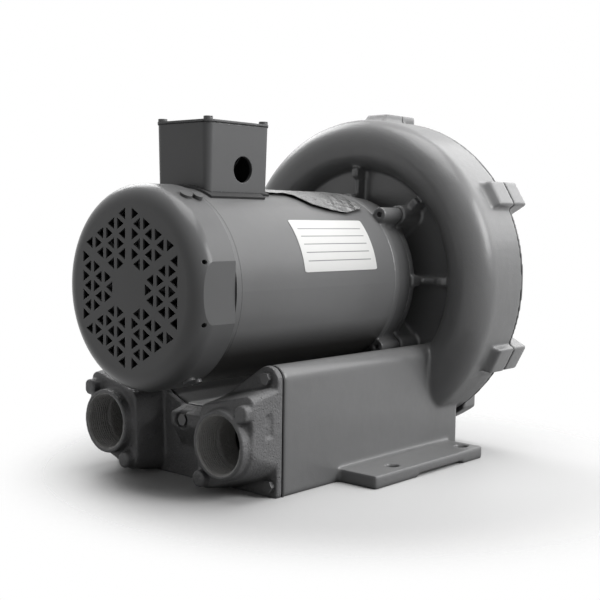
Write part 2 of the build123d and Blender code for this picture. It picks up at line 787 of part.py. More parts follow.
with BuildPart() as clip:
    add(ring(-240, -237, 15, 12.5))
    add(block(-2, 2, -241, -236, axis_height - 16, axis_height - 9), mode=Mode.SUBTRACT)
save(clip.part, "fan_clip")

hole_pitch = 16.1
strut = 3.76
spoke_offset = 4.19
row = hole_pitch * math.sqrt(3) / 2
hole_corner = 2 * (hole_pitch / (2 * math.sqrt(3)) - strut / 2)
corner = 16
straight_y = grille_y + corner


def bowl(radius, front_y, bend, rear_y):
    """Half section of the drawn shroud, a flat face with a rounded rim, as a solid."""
    mid = bend * math.sqrt(0.5)
    with BuildPart() as body:
        with BuildSketch(Plane.YZ):
            with BuildLine():
                Line((front_y, axis_height), (front_y, axis_height + radius - bend))
                ThreePointArc(
                    (front_y, axis_height + radius - bend),
                    (front_y + bend - mid, axis_height + radius - bend + mid),
                    (front_y + bend, axis_height + radius),
                )
                Line((front_y + bend, axis_height + radius), (rear_y, axis_height + radius))
                Line((rear_y, axis_height + radius), (rear_y, axis_height))
                Line((rear_y, axis_height), (front_y, axis_height))
            make_face()
        revolve(axis=axis, revolution_arc=360)
    return body.part


with BuildPart() as shroud:
    add(bowl(shroud_radius, grille_y, corner, shroud_rear_y))
    for side in (-1, 1):
        flat = block(
            side * (pad_x + 10) - 10, side * (pad_x + 10) + 10, grille_y - 1, shroud_rear_y + 1,
            axis_height - 60, axis_height + 60,
        )
        add(flat, mode=Mode.SUBTRACT)
    inside = bowl(
        shroud_radius - shroud_wall, grille_y + shroud_wall, corner - shroud_wall, shroud_rear_y + 1
    )
    inside = inside & block(
        -pad_x + shroud_wall, pad_x - shroud_wall, grille_y, shroud_rear_y + 1,
        axis_height - 90, axis_height + 90,
    )
    add(inside, mode=Mode.SUBTRACT)
    # Air grille: six clusters of small triangles around a plain middle
    with BuildSketch(Plane.XZ.offset(-(grille_y - 1))):
        with Locations((0, axis_height)):
            for cluster in range(6):
                for strip in range(1, 4):
                    for j in range(strip + 1):
                        spot = (strip * row + spoke_offset + 2 * row / 3, (j - strip / 2) * hole_pitch)
                        turn = math.atan2(spot[1], spot[0]) + math.radians(60 * cluster)
                        reach = math.hypot(spot[0], spot[1])
                        with Locations((reach * math.cos(turn), reach * math.sin(turn))):
                            RegularPolygon(radius=hole_corner, side_count=3, rotation=60 * cluster + 180)
                    for j in range(strip):
                        spot = (strip * row + spoke_offset + row / 3, (j - (strip - 1) / 2) * hole_pitch)
                        turn = math.atan2(spot[1], spot[0]) + math.radians(60 * cluster)
                        reach = math.hypot(spot[0], spot[1])
                        with Locations((reach * math.cos(turn), reach * math.sin(turn))):
                            RegularPolygon(radius=hole_corner, side_count=3, rotation=60 * cluster)
    extrude(amount=-5, mode=Mode.SUBTRACT)
    for angle in shroud_screw_angles:
        add(radial_rod(78, 88, shroud_screw_y, angle, 2.2), mode=Mode.SUBTRACT)
        # Pressed dimple in front of the screw
        add(radial_rod(shroud_radius - 0.9, shroud_radius + 2.2, shroud_screw_y - 10.2, angle + 2, 5.2))
    for side in (-1, 1):
        for dz in (-24, 24):
            with Locations(Location((side * 78, grille_y + 8.5, axis_height + dz), (0, 90, 0))):
                Cylinder(1.8, 12, mode=Mode.SUBTRACT)
save(shroud.part, "fan_shroud")

with BuildPart() as shroud_screws:
    for angle in shroud_screw_angles:
        add(radial_rod(77, shroud_radius + 1, shroud_screw_y, angle, 2))
        add(radial_rod(shroud_radius + 0.1, shroud_radius + 3, shroud_screw_y, angle, 4.4))
save(shroud_screws.part, "shroud_screws")

# Terminal box on its saddle gasket
box_half_x = 32.4
box_front = -190.3
box_rear = -115.5
box_lid_z = 301.5
box_centre_y = (box_front + box_rear) / 2
saddle_thickness = 2
saddle_radius = shell_radius + saddle_thickness
saddle_wing_y = -127.5
box_floor_z = axis_height + saddle_radius
floor_thickness = 2.4
sheet = 3
conduit_radius = 11.1
conduit_y = -148.4
conduit_z = 264.5
lid_screw_inset = 4.6
lid_boss_height = 16
lid_screw_points = [
    (sx * (box_half_x - lid_screw_inset), y)
    for y in (box_front + lid_screw_inset, box_rear - lid_screw_inset)
    for sx in (-1, 1)
]

with BuildPart() as saddle:
    add(curved_plate(box_front - 1, box_rear, shell_radius, saddle_radius, 112, 44))
    add(curved_plate(box_front - 1, saddle_wing_y, shell_radius, saddle_radius, 117, 54))
    add(radial_rod(80, 90, lead_hole_y, 90, 9), mode=Mode.SUBTRACT)
    for y in box_screw_y:
        add(radial_rod(80, 90, y, 90, 2.7), mode=Mode.SUBTRACT)
save(saddle.part, "terminal_box_gasket")

with BuildPart() as terminal_box:
    with BuildSketch(Plane.XY.offset(box_lid_z)):
        with Locations((0, box_centre_y)):
            RectangleRounded(2 * box_half_x, box_rear - box_front, 7)
    extrude(amount=-70, taper=1.5)
    with BuildSketch(Plane.XY.offset(box_lid_z)):
        with Locations((0, box_centre_y)):
            RectangleRounded(2 * (box_half_x - sheet), box_rear - box_front - 2 * sheet, 4.5)
    extrude(amount=-(box_lid_z - box_floor_z - floor_thickness), taper=1.5, mode=Mode.SUBTRACT)
    with BuildSketch(Plane.XY.offset(box_floor_z)):
        with Locations((0, box_centre_y)):
            RectangleRounded(2 * (box_half_x - 5), box_rear - box_front - 10, 3)
    extrude(amount=-30, mode=Mode.SUBTRACT)
    with BuildSketch(Plane.XY.offset(box_lid_z)):
        with Locations(*lid_screw_points):
            Circle(lid_screw_inset - 1.5)
    extrude(amount=-lid_boss_height)
    with BuildSketch(Plane.XY.offset(box_lid_z)):
        with Locations(*lid_screw_points):
            Circle(1.9 + fit)
    extrude(amount=2 - lid_boss_height, mode=Mode.SUBTRACT)
    # Pad for the two mounting screws, down to the saddle gasket
    with BuildSketch(Plane.XY.offset(box_floor_z + 1)):
        with Locations((0, box_screw_y[0]), (0, box_screw_y[1])):
            Circle(9)
        with Locations((0, lead_hole_y)):
            Circle(12)
    extrude(amount=-6)
    add(ring(box_front - 5, box_rear + 5, saddle_radius), mode=Mode.SUBTRACT)
    add(radial_rod(70, 90, lead_hole_y, 90, 9), mode=Mode.SUBTRACT)
    for y in box_screw_y:
        add(radial_rod(70, 90, y, 90, 2.7), mode=Mode.SUBTRACT)
    with Locations(Location((box_half_x, conduit_y, conduit_z), (0, 90, 0))):
        Cylinder(conduit_radius, 9, mode=Mode.SUBTRACT)
    with Locations(Location((-18, box_front + 13, box_floor_z + floor_thickness + 2))):
        Cylinder(5, 6)
    with Locations(Location((-18, box_front + 13, box_floor_z + floor_thickness + 3))):
        Cylinder(2 + fit, 6, mode=Mode.SUBTRACT)
save(terminal_box.part, "terminal_box")

with BuildPart() as lid_gasket:
    with BuildSketch(Plane.XY.offset(box_lid_z)):
        with Locations((0, box_centre_y)):
            RectangleRounded(2 * box_half_x - 0.6, box_rear - box_front - 0.6, 6.7)
            RectangleRounded(2 * (box_half_x - 3), box_rear - box_front - 6, 4, mode=Mode.SUBTRACT)
        with Locations(*lid_screw_points):
            Circle(lid_screw_inset - 0.4)
        with Locations(*lid_screw_points):
            Circle(2.2, mode=Mode.SUBTRACT)
    extrude(amount=0.8)
save(lid_gasket.part, "terminal_box_lid_gasket")

with BuildPart() as lid:
    with BuildSketch(Plane.XY.offset(box_lid_z + 0.8)):
        with Locations((0, box_centre_y)):
            RectangleRounded(2 * box_half_x + 1.4, box_rear - box_front + 1.4, 7.5)
        with Locations(*lid_screw_points):
            Circle(2.2, mode=Mode.SUBTRACT)
    extrude(amount=1.8)
save(lid.part, "terminal_box_lid")

with BuildPart() as lid_screws:
    with BuildSketch(Plane.XY.offset(box_lid_z + 2.6)):
        with Locations(*lid_screw_points):
            Circle(3.9)
    extrude(amount=2.6)
    with BuildSketch(Plane.XY.offset(box_lid_z + 2.6)):
        with Locations(*lid_screw_points):
            Circle(1.9)
    extrude(amount=-13)
    for x, y in lid_screw_points:
        with Locations((x, y, box_lid_z + 5)):
            Box(8, 1.2, 1.6, mode=Mode.SUBTRACT)
save(lid_screws.part, "terminal_box_lid_screws")

with BuildPart() as box_screws:
    for y in box_screw_y:
        add(radial_rod(74, saddle_radius + floor_thickness + 0.5, y, 90, 2.5))
        add(radial_rod(saddle_radius + floor_thickness, saddle_radius + floor_thickness + 3, y, 90, 4.6))
        add(radial_rod(75.5, shell_bore - 0.35, y, 90, 4.5))
save(box_screws.part, "box_mount_screws")

with BuildPart() as ground_screw:
    with Locations((-18, box_front + 13, box_floor_z + floor_thickness + 4)):
        Cylinder(2, 4)
    with Locations((-18, box_front + 13, box_floor_z + floor_thickness + 6.5)):
        Cylinder(4, 3)
save(ground_screw.part, "ground_screw")

# Motor leads: from the winding through the shell opening into the box
lead_radius = 1.3
lead_spots = [(-5, -156), (2, -156), (-2, -150.3), (5, -150.3)]
lead_ends = [(-14, -172), (13, -170), (-12, -130), (14, -131)]
with BuildPart() as leads:
    for start, end in zip(lead_spots, lead_ends):
        with BuildLine() as path:
            Spline(
                (1.6 * start[0], -149.9, axis_height + 61),
                (start[0], start[1], axis_height + 86),
                (end[0], end[1], 282),
                tangents=((0, -0.3, 1), (0.2, 0, 0.4)),
            )
        with BuildSketch(Plane(origin=path.line @ 0, z_dir=path.line % 0)):
            Circle(lead_radius)
        sweep(path=path.line)
save(leads.part, "motor_leads")

# Blank plates on the shell
plate_gap = 0.05
with BuildPart() as rating_plate:
    add(curved_plate(-91, -8, shell_radius + plate_gap, shell_radius + 0.6, 100, 49))
save(rating_plate.part, "rating_plate")

with BuildPart() as label_plate:
    add(curved_plate(-124, -25, shell_radius + plate_gap, shell_radius + 0.35, 43, 34.4))
save(label_plate.part, "label_plate")
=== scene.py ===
import math

import bpy
from mathutils import Matrix, Vector


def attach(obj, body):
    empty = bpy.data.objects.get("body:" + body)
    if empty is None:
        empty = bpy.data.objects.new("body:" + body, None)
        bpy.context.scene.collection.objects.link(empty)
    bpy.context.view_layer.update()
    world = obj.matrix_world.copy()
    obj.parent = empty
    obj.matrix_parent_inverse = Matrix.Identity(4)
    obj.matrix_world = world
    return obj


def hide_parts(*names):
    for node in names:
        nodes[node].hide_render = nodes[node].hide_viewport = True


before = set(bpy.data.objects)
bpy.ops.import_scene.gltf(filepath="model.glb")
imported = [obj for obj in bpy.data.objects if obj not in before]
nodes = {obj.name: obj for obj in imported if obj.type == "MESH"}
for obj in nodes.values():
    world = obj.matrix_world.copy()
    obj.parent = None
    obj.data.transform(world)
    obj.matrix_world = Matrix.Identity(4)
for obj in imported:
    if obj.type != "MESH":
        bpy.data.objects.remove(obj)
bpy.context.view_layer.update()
scene = bpy.context.scene

# Studio. A pale floor that fades into white paper, softboxes overhead, at both sides and
# behind, so the motor end stays in the shade and the far rims catch the light.
scene.view_settings.view_transform = "Standard"

camera_azimuth = math.radians(41.18)
camera_pitch = math.radians(4.50)
camera_roll = math.radians(0.81)
look = Vector((
    -math.sin(camera_azimuth) * math.cos(camera_pitch),
    math.cos(camera_azimuth) * math.cos(camera_pitch),
    -math.sin(camera_pitch),
))
level = Vector((math.cos(camera_azimuth), math.sin(camera_azimuth), 0))
rise = level.cross(look)
camera_right = level * math.cos(camera_roll) + rise * math.sin(camera_roll)
camera_up = rise * math.cos(camera_roll) - level * math.sin(camera_roll)
bpy.ops.object.camera_add(location=(0.6618, -0.7935, 0.2259))
camera = bpy.context.object
camera.name = "studio_camera"
camera.rotation_euler = Matrix((camera_right, camera_up, -look)).transposed().to_euler()
camera.data.sensor_width = 36
camera.data.lens = 63.67
camera.data.clip_start = 0.05
camera.data.clip_end = 60
scene.camera = camera

paper = bpy.data.worlds.new("studio_paper")
paper.use_nodes = True
scene.world = paper
paper_tree = paper.node_tree
paper_tree.nodes.clear()
paper_out = paper_tree.nodes.new("ShaderNodeOutputWorld")
seen_paper = paper_tree.nodes.new("ShaderNodeBackground")
seen_paper.inputs["Color"].default_value = (1, 1, 1, 1)
seen_paper.inputs["Strength"].default_value = 1
room_light = paper_tree.nodes.new("ShaderNodeBackground")
room_light.inputs["Color"].default_value = (1, 1, 1, 1)
room_light.inputs["Strength"].default_value = 0.12
paper_mix = paper_tree.nodes.new("ShaderNodeMixShader")
ray = paper_tree.nodes.new("ShaderNodeLightPath")
seen_or_mirrored = paper_tree.nodes.new("ShaderNodeMath")
seen_or_mirrored.operation = "MAXIMUM"
through_too = paper_tree.nodes.new("ShaderNodeMath")
through_too.operation = "MAXIMUM"
paper_tree.links.new(ray.outputs["Is Camera Ray"], seen_or_mirrored.inputs[0])
paper_tree.links.new(ray.outputs["Is Glossy Ray"], seen_or_mirrored.inputs[1])
paper_tree.links.new(seen_or_mirrored.outputs[0], through_too.inputs[0])
paper_tree.links.new(ray.outputs["Is Transmission Ray"], through_too.inputs[1])
paper_tree.links.new(through_too.outputs[0], paper_mix.inputs[0])
paper_tree.links.new(room_light.outputs[0], paper_mix.inputs[1])
paper_tree.links.new(seen_paper.outputs[0], paper_mix.inputs[2])
paper_tree.links.new(paper_mix.outputs[0], paper_out.inputs["Surface"])

floor_middle = (0.06, -0.03, 0)
bpy.ops.mesh.primitive_circle_add(vertices=96, radius=2.4, fill_type="NGON", location=floor_middle)
floor = bpy.context.object
floor.name = "studio_floor"
floor_paint = bpy.data.materials.new("studio_floor")
floor_paint.use_nodes = True
floor_tree = floor_paint.node_tree
floor_shader = floor_tree.nodes["Principled BSDF"]
floor_shader.inputs["Roughness"].default_value = 0.55
floor_shader.inputs["Specular IOR Level"].default_value = 0.25
floor_place = floor_tree.nodes.new("ShaderNodeTexCoord")
floor_reach = floor_tree.nodes.new("ShaderNodeVectorMath")
floor_reach.operation = "LENGTH"
floor_fade = floor_tree.nodes.new("ShaderNodeMapRange")
floor_fade.interpolation_type = "SMOOTHERSTEP"
floor_fade.inputs["From Min"].default_value = 0.19
floor_fade.inputs["From Max"].default_value = 0.34
floor_fade.inputs["To Min"].default_value = 1.0
floor_fade.inputs["To Max"].default_value = 0.0
floor_ray = floor_tree.nodes.new("ShaderNodeLightPath")
floor_tone = floor_tree.nodes.new("ShaderNodeMapRange")
floor_tone.inputs["To Min"].default_value = 0.22
floor_tone.inputs["To Max"].default_value = 0.62
floor_tree.links.new(floor_ray.outputs["Is Camera Ray"], floor_tone.inputs["Value"])
floor_tree.links.new(floor_tone.outputs["Result"], floor_shader.inputs["Base Color"])
floor_tree.links.new(floor_place.outputs["Object"], floor_reach.inputs[0])
floor_tree.links.new(floor_reach.outputs["Value"], floor_fade.inputs["Value"])
floor_tree.links.new(floor_fade.outputs["Result"], floor_shader.inputs["Alpha"])
floor.data.materials.append(floor_paint)


def softbox(name, place, aim, width, height, power):
    bpy.ops.object.light_add(type="AREA", location=place)
    lamp = bpy.context.object
    lamp.name = name
    lamp.data.shape = "RECTANGLE"
    lamp.data.size = width
    lamp.data.size_y = height
    lamp.data.energy = power
    lamp.rotation_euler = (Vector(aim) - Vector(place)).to_track_quat("-Z", "Y").to_euler()
    return lamp


softbox("softbox_right", (1.5, 0.55, 1.0), (0, 0, 0.15), 0.7, 0.9, 21)
softbox("softbox_top", (0.15, 0.15, 1.75), (0, 0, 0.15), 1.3, 1.1, 19)
softbox("softbox_back", (0.45, 1.5, 1.1), (0, 0.05, 0.2), 1.9, 1.2, 15)
softbox("softbox_left", (-1.25, 0.45, 1.2), (0, 0, 0.15), 0.8, 0.8, 9)

# Impeller housing: front half of the ring channel, the base box with its two muffler
# chambers and the feet, one aluminium sand casting sprayed semi gloss grey. Its edges are
# soft, so the body is remeshed and rubbed down. Its paint turns black in a thin band at the joint.
casing_grey = (0.155, 0.156, 0.158)
bare_metal_grey = (0.42, 0.42, 0.43)
dust_grey = (0.30, 0.295, 0.285)


def add_node(tree, kind, operation=None, **values):
    node = tree.nodes.new("ShaderNode" + kind)
    if operation:
        node.operation = operation
    for socket, value in values.items():
        node.inputs[socket.replace("_", " ")].default_value = value
    return node


def new_effect(name, inputs, outputs):
    effect = bpy.data.node_groups.new(name, "ShaderNodeTree")
    for socket, value in inputs.items():
        made = effect.interface.new_socket(socket, in_out="INPUT", socket_type="NodeSocketFloat")
        made.default_value = value
    for socket, kind in outputs.items():
        effect.interface.new_socket(socket, in_out="OUTPUT", socket_type="NodeSocket" + kind)
    return effect, effect.nodes.new("NodeGroupInput"), effect.nodes.new("NodeGroupOutput")


# Sand cast skin: fine grain, slow swell and a few pits, as one height
cast_skin, skin_in, skin_out = new_effect(
    "cast_skin",
    {"Grain": 800.0, "Swell": 1.0, "Pits": 0.3},
    {"Height": "Float", "Pit Mask": "Float"},
)
skin_place = add_node(cast_skin, "TexCoord")
skin_grain = add_node(cast_skin, "TexNoise", Detail=5.0, Roughness=0.62)
skin_swell = add_node(cast_skin, "TexNoise", Scale=45.0, Detail=2.0, Roughness=0.5)
skin_pits = add_node(cast_skin, "TexVoronoi", Scale=240.0, Randomness=1.0)
pit_edge = add_node(cast_skin, "MapRange", From_Min=0.05, From_Max=0.16, To_Min=1.0, To_Max=0.0)
swell_part = add_node(cast_skin, "Math", "MULTIPLY")
pit_part = add_node(cast_skin, "Math", "MULTIPLY")
with_swell = add_node(cast_skin, "Math", "ADD")
less_pits = add_node(cast_skin, "Math", "SUBTRACT")
for a, b in (
    (skin_place.outputs["Object"], skin_grain.inputs["Vector"]),
    (skin_place.outputs["Object"], skin_swell.inputs["Vector"]),
    (skin_place.outputs["Object"], skin_pits.inputs["Vector"]),
    (skin_in.outputs["Grain"], skin_grain.inputs["Scale"]),
    (skin_swell.outputs[0], swell_part.inputs[0]),
    (skin_in.outputs["Swell"], swell_part.inputs[1]),
    (skin_grain.outputs[0], with_swell.inputs[0]),
    (swell_part.outputs[0], with_swell.inputs[1]),
    (skin_pits.outputs["Distance"], pit_edge.inputs["Value"]),
    (pit_edge.outputs["Result"], pit_part.inputs[0]),
    (skin_in.outputs["Pits"], pit_part.inputs[1]),
    (with_swell.outputs[0], less_pits.inputs[0]),
    (pit_part.outputs[0], less_pits.inputs[1]),
    (less_pits.outputs[0], skin_out.inputs["Height"]),
    (pit_part.outputs[0], skin_out.inputs["Pit Mask"]),
):
    cast_skin.links.new(a, b)

# Worn edges: where the rounded normal leaves the flat one, broken up by noise
worn_edge, edge_in, edge_out = new_effect(
    "worn_edge", {"Radius": 0.001, "Reach": 0.5}, {"Mask": "Float", "Normal": "Vector"}
)
edge_round = add_node(worn_edge, "Bevel")
edge_round.samples = 6
edge_flat = add_node(worn_edge, "NewGeometry")
edge_dot = add_node(worn_edge, "VectorMath", "DOT_PRODUCT")
edge_turn = add_node(worn_edge, "MapRange", From_Min=0.998, From_Max=0.93, To_Min=0.0, To_Max=1.0)
edge_place = add_node(worn_edge, "TexCoord")
edge_noise = add_node(worn_edge, "TexNoise", Scale=160.0, Detail=4.0, Roughness=0.7)
edge_break = add_node(worn_edge, "MapRange", From_Max=0.72, To_Min=0.0, To_Max=1.0)
edge_limit = add_node(worn_edge, "Math", "SUBTRACT")
edge_limit.inputs[0].default_value = 1.0
edge_both = add_node(worn_edge, "Math", "MULTIPLY")
for a, b in (
    (edge_in.outputs["Radius"], edge_round.inputs["Radius"]),
    (edge_round.outputs["Normal"], edge_dot.inputs[0]),
    (edge_flat.outputs["Normal"], edge_dot.inputs[1]),
    (edge_dot.outputs["Value"], edge_turn.inputs["Value"]),
    (edge_place.outputs["Object"], edge_noise.inputs["Vector"]),
    (edge_in.outputs["Reach"], edge_limit.inputs[1]),
    (edge_limit.outputs[0], edge_break.inputs["From Min"]),
    (edge_noise.outputs[0], edge_break.inputs["Value"]),
    (edge_turn.outputs["Result"], edge_both.inputs[0]),
    (edge_break.outputs["Result"], edge_both.inputs[1]),
    (edge_both.outputs[0], edge_out.inputs["Mask"]),
    (edge_round.outputs["Normal"], edge_out.inputs["Normal"]),
):
    worn_edge.links.new(a, b)

# Settled dust: a thin uneven film on what faces up
settled_dust, dust_in, dust_out = new_effect("settled_dust", {"Amount": 0.3}, {"Mask": "Float"})
dust_flat = add_node(settled_dust, "NewGeometry")
dust_height = add_node(settled_dust, "SeparateXYZ")
dust_level = add_node(settled_dust, "MapRange", From_Min=0.35, From_Max=1.0, To_Min=0.0, To_Max=1.0)
dust_place = add_node(settled_dust, "TexCoord")
dust_noise = add_node(settled_dust, "TexNoise", Scale=38.0, Detail=6.0, Roughness=0.66)
dust_drift = add_node(
    settled_dust, "MapRange", From_Min=0.35, From_Max=0.75, To_Min=0.25, To_Max=1.0,
)
dust_both = add_node(settled_dust, "Math", "MULTIPLY")
dust_share = add_node(settled_dust, "Math", "MULTIPLY")
for a, b in (
    (dust_flat.outputs["Normal"], dust_height.inputs[0]),
    (dust_height.outputs["Z"], dust_level.inputs["Value"]),
    (dust_place.outputs["Object"], dust_noise.inputs["Vector"]),
    (dust_noise.outputs[0], dust_drift.inputs["Value"]),
    (dust_level.outputs["Result"], dust_both.inputs[0]),
    (dust_drift.outputs["Result"], dust_both.inputs[1]),
    (dust_both.outputs[0], dust_share.inputs[0]),
    (dust_in.outputs["Amount"], dust_share.inputs[1]),
    (dust_share.outputs[0], dust_out.inputs["Mask"]),
):
    settled_dust.links.new(a, b)

# Painted corner shade: the colour darkened where surfaces meet and shade falls, as a factor on the
# colour
painted_corner_shade, corner_shade_in, corner_shade_out = new_effect("painted_corner_shade", {"Depth": 0.5}, {"Factor": "Float"})
corner_shade_occlusion = add_node(painted_corner_shade, "AmbientOcclusion", Distance=0.009)
corner_shade_occlusion.samples = 5
corner_shade_reach = add_node(painted_corner_shade, "MapRange", From_Min=0.25, From_Max=0.80, To_Max=1.0)
corner_shade_darkest = add_node(painted_corner_shade, "Math", "SUBTRACT")
corner_shade_darkest.inputs[0].default_value = 1.0
for a, b in (
    (corner_shade_in.outputs["Depth"], corner_shade_darkest.inputs[1]),
    (corner_shade_darkest.outputs[0], corner_shade_reach.inputs["To Min"]),
    (corner_shade_occlusion.outputs["AO"], corner_shade_reach.inputs["Value"]),
    (corner_shade_reach.outputs["Result"], corner_shade_out.inputs["Factor"]),
):
    painted_corner_shade.links.new(a, b)

# Tone drift: slow light and dark patches, as a factor about one
tone_drift, drift_in, drift_out = new_effect(
    "tone_drift", {"Spread": 0.08, "Scale": 14.0}, {"Factor": "Float"},
)
drift_place = add_node(tone_drift, "TexCoord")
drift_noise = add_node(tone_drift, "TexNoise", Detail=4.0, Roughness=0.6)
drift_middle = add_node(tone_drift, "Math", "SUBTRACT")
drift_middle.inputs[1].default_value = 0.5
drift_share = add_node(tone_drift, "Math", "MULTIPLY")
drift_sum = add_node(tone_drift, "Math", "ADD")
drift_sum.inputs[1].default_value = 1.0
for a, b in (
    (drift_place.outputs["Object"], drift_noise.inputs["Vector"]),
    (drift_in.outputs["Scale"], drift_noise.inputs["Scale"]),
    (drift_noise.outputs[0], drift_middle.inputs[0]),
    (drift_middle.outputs[0], drift_share.inputs[0]),
    (drift_in.outputs["Spread"], drift_share.inputs[1]),
    (drift_share.outputs[0], drift_sum.inputs[0]),
    (drift_sum.outputs[0], drift_out.inputs["Factor"]),
):
    tone_drift.links.new(a, b)


def effect_node(tree, effect, **values):
    node = tree.nodes.new("ShaderNodeGroup")
    node.node_tree = effect
    for socket, value in values.items():
        node.inputs[socket.replace("_", " ")].default_value = value
    return node


def shaded(tree, colour, factor):
    """The colour scaled by a factor that changes over the surface."""
    scaled = add_node(tree, "VectorMath", "SCALE")
    scaled.inputs[0].default_value = colour
    tree.links.new(factor, scaled.inputs["Scale"])
    return scaled.outputs["Vector"]


def mixed(tree, mask, under, over):
    """One colour over another where the mask says."""
    mix = tree.nodes.new("ShaderNodeMix")
    mix.data_type = "RGBA"
    tree.links.new(mask, mix.inputs["Factor"])
    tree.links.new(under, mix.inputs["A"])
    if isinstance(over, tuple):
        mix.inputs["B"].default_value = (*over, 1)
    else:
        tree.links.new(over, mix.inputs["B"])
    return mix.outputs["Result"]


def painted(
    name, colour, roughness, grain, relief, radius, wear, dust, swell=1.0, pits=0.0,
    coat=0.0, corner_shade=0.5, mirror=0.5,
):
    """Sprayed paint over metal: skin of the metal below, worn edges, a film of dust and painted
    shade in the corners.
    """
    paint = bpy.data.materials.new(name)
    paint.use_nodes = True
    tree = paint.node_tree
    shader = tree.nodes["Principled BSDF"]
    drift = effect_node(tree, tone_drift, Spread=0.22, Scale=16.0)
    edges = effect_node(tree, worn_edge, Radius=radius, Reach=wear)
    film = effect_node(tree, settled_dust, Amount=dust)
    skin = effect_node(tree, cast_skin, Grain=grain, Swell=swell, Pits=pits)
    bump = add_node(tree, "Bump", Strength=1.0, Distance=relief)
    gloss = add_node(
        tree, "MapRange", From_Min=0.3, From_Max=1.4,
        To_Min=roughness - 0.05, To_Max=roughness + 0.07,
    )
    # Painted shade: the colour is darkened in corners and crevices
    corner_shade_node = effect_node(tree, painted_corner_shade, Depth=corner_shade)
    drift_and_corner_shade = add_node(tree, "Math", "MULTIPLY")
    dull = add_node(tree, "Math", "ADD")
    dull.use_clamp = True
    film_dull = add_node(tree, "Math", "MULTIPLY")
    film_dull.inputs[1].default_value = 0.4
    body = shaded(tree, colour, drift_and_corner_shade.outputs[0])
    dusty = mixed(tree, film.outputs["Mask"], body, dust_grey)
    worn = mixed(tree, edges.outputs["Mask"], dusty, bare_metal_grey)
    tree.links.new(drift.outputs["Factor"], drift_and_corner_shade.inputs[0])
    tree.links.new(corner_shade_node.outputs["Factor"], drift_and_corner_shade.inputs[1])
    tree.links.new(worn, shader.inputs["Base Color"])
    tree.links.new(skin.outputs["Height"], gloss.inputs["Value"])
    tree.links.new(film.outputs["Mask"], film_dull.inputs[0])
    tree.links.new(gloss.outputs["Result"], dull.inputs[0])
    tree.links.new(film_dull.outputs[0], dull.inputs[1])
    tree.links.new(dull.outputs[0], shader.inputs["Roughness"])
    tree.links.new(edges.outputs["Mask"], shader.inputs["Metallic"])
    tree.links.new(skin.outputs["Height"], bump.inputs["Height"])
    tree.links.new(edges.outputs["Normal"], bump.inputs["Normal"])
    tree.links.new(bump.outputs["Normal"], shader.inputs["Normal"])
    shader.inputs["Specular IOR Level"].default_value = mirror
    shader.inputs["Coat Weight"].default_value = coat
    shader.inputs["Coat Roughness"].default_value = 0.18
    return paint


def work_on(piece):
    """Select this piece alone and make it the active one."""
    bpy.ops.object.select_all(action="DESELECT")
    piece.select_set(True)
    bpy.context.view_layer.objects.active = piece


def with_modifier(piece, kind, **settings):
    """Add a modifier and apply it."""
    modifier = piece.modifiers.new(kind.lower(), kind)
    for setting, value in settings.items():
        setattr(modifier, setting, value)
    bpy.ops.object.modifier_apply(modifier=modifier.name)


def merged_copy(node_name, name):
    """A copy of a CAD body with its loose triangles joined."""
    piece = bpy.data.objects.new(name, nodes[node_name].data.copy())
    scene.collection.objects.link(piece)
    piece.data.materials.clear()
    work_on(piece)
    bpy.ops.object.mode_set(mode="EDIT")
    bpy.ops.mesh.select_all(action="SELECT")
    bpy.ops.mesh.remove_doubles(threshold=0.00001)
    bpy.ops.object.mode_set(mode="OBJECT")
    return piece


def rubbed_casting(node_name, name, voxel, rounds, keep):
    """A casting from its CAD body: remeshed, edges rubbed round, then thinned."""
    piece = merged_copy(node_name, name)
    with_modifier(piece, "REMESH", mode="VOXEL", voxel_size=voxel)
    with_modifier(piece, "SMOOTH", factor=0.5, iterations=rounds)
    with_modifier(piece, "DECIMATE", ratio=keep)
    bpy.ops.object.shade_smooth_by_angle(angle=math.radians(42))
    return piece


def hand_over(piece, node_name, material, body="casing"):
    """The piece stands for its CAD node, with its finish and its body."""
    piece.data.materials.clear()
    piece.data.materials.append(material)
    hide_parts(node_name)
    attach(piece, body)


casing_paint = painted(
    "casing_paint", casing_grey, roughness=0.33, grain=900.0, relief=0.00020, radius=0.0012,
    wear=0.34, dust=0.18, swell=3.0, pits=0.25, coat=0.30,
)
casing_tree = casing_paint.node_tree
casing_shader = casing_tree.nodes["Principled BSDF"]
casing_place = add_node(casing_tree, "TexCoord")
casing_depth = add_node(casing_tree, "SeparateXYZ")
joint_front_y = 0.1030
joint_back_y = 0.1048
joint_blur = 0.0001
joint_start = add_node(casing_tree, "MapRange", To_Min=0.0, To_Max=1.0)
joint_start.inputs["From Min"].default_value = joint_front_y - joint_blur
joint_start.inputs["From Max"].default_value = joint_front_y + joint_blur
joint_end = add_node(casing_tree, "MapRange", To_Min=1.0, To_Max=0.0)
joint_end.inputs["From Min"].default_value = joint_back_y - joint_blur
joint_end.inputs["From Max"].default_value = joint_back_y + 2 * joint_blur
joint_band = add_node(casing_tree, "Math", "MULTIPLY")
casing_tree.links.new(casing_place.outputs["Object"], casing_depth.inputs[0])
casing_tree.links.new(casing_depth.outputs["Y"], joint_start.inputs["Value"])
casing_tree.links.new(casing_depth.outputs["Y"], joint_end.inputs["Value"])
casing_tree.links.new(joint_start.outputs["Result"], joint_band.inputs[0])
casing_tree.links.new(joint_end.outputs["Result"], joint_band.inputs[1])
clean_casing = casing_shader.inputs["Base Color"].links[0].from_socket
joint_black = (0.022, 0.022, 0.023)
jointed = mixed(casing_tree, joint_band.outputs[0], clean_casing, joint_black)
casing_tree.links.new(jointed, casing_shader.inputs["Base Color"])
housing = rubbed_casting(
    "impeller_housing", "housing_casting", voxel=0.0016, rounds=5, keep=0.30,
)
hand_over(housing, "impeller_housing", casing_paint)

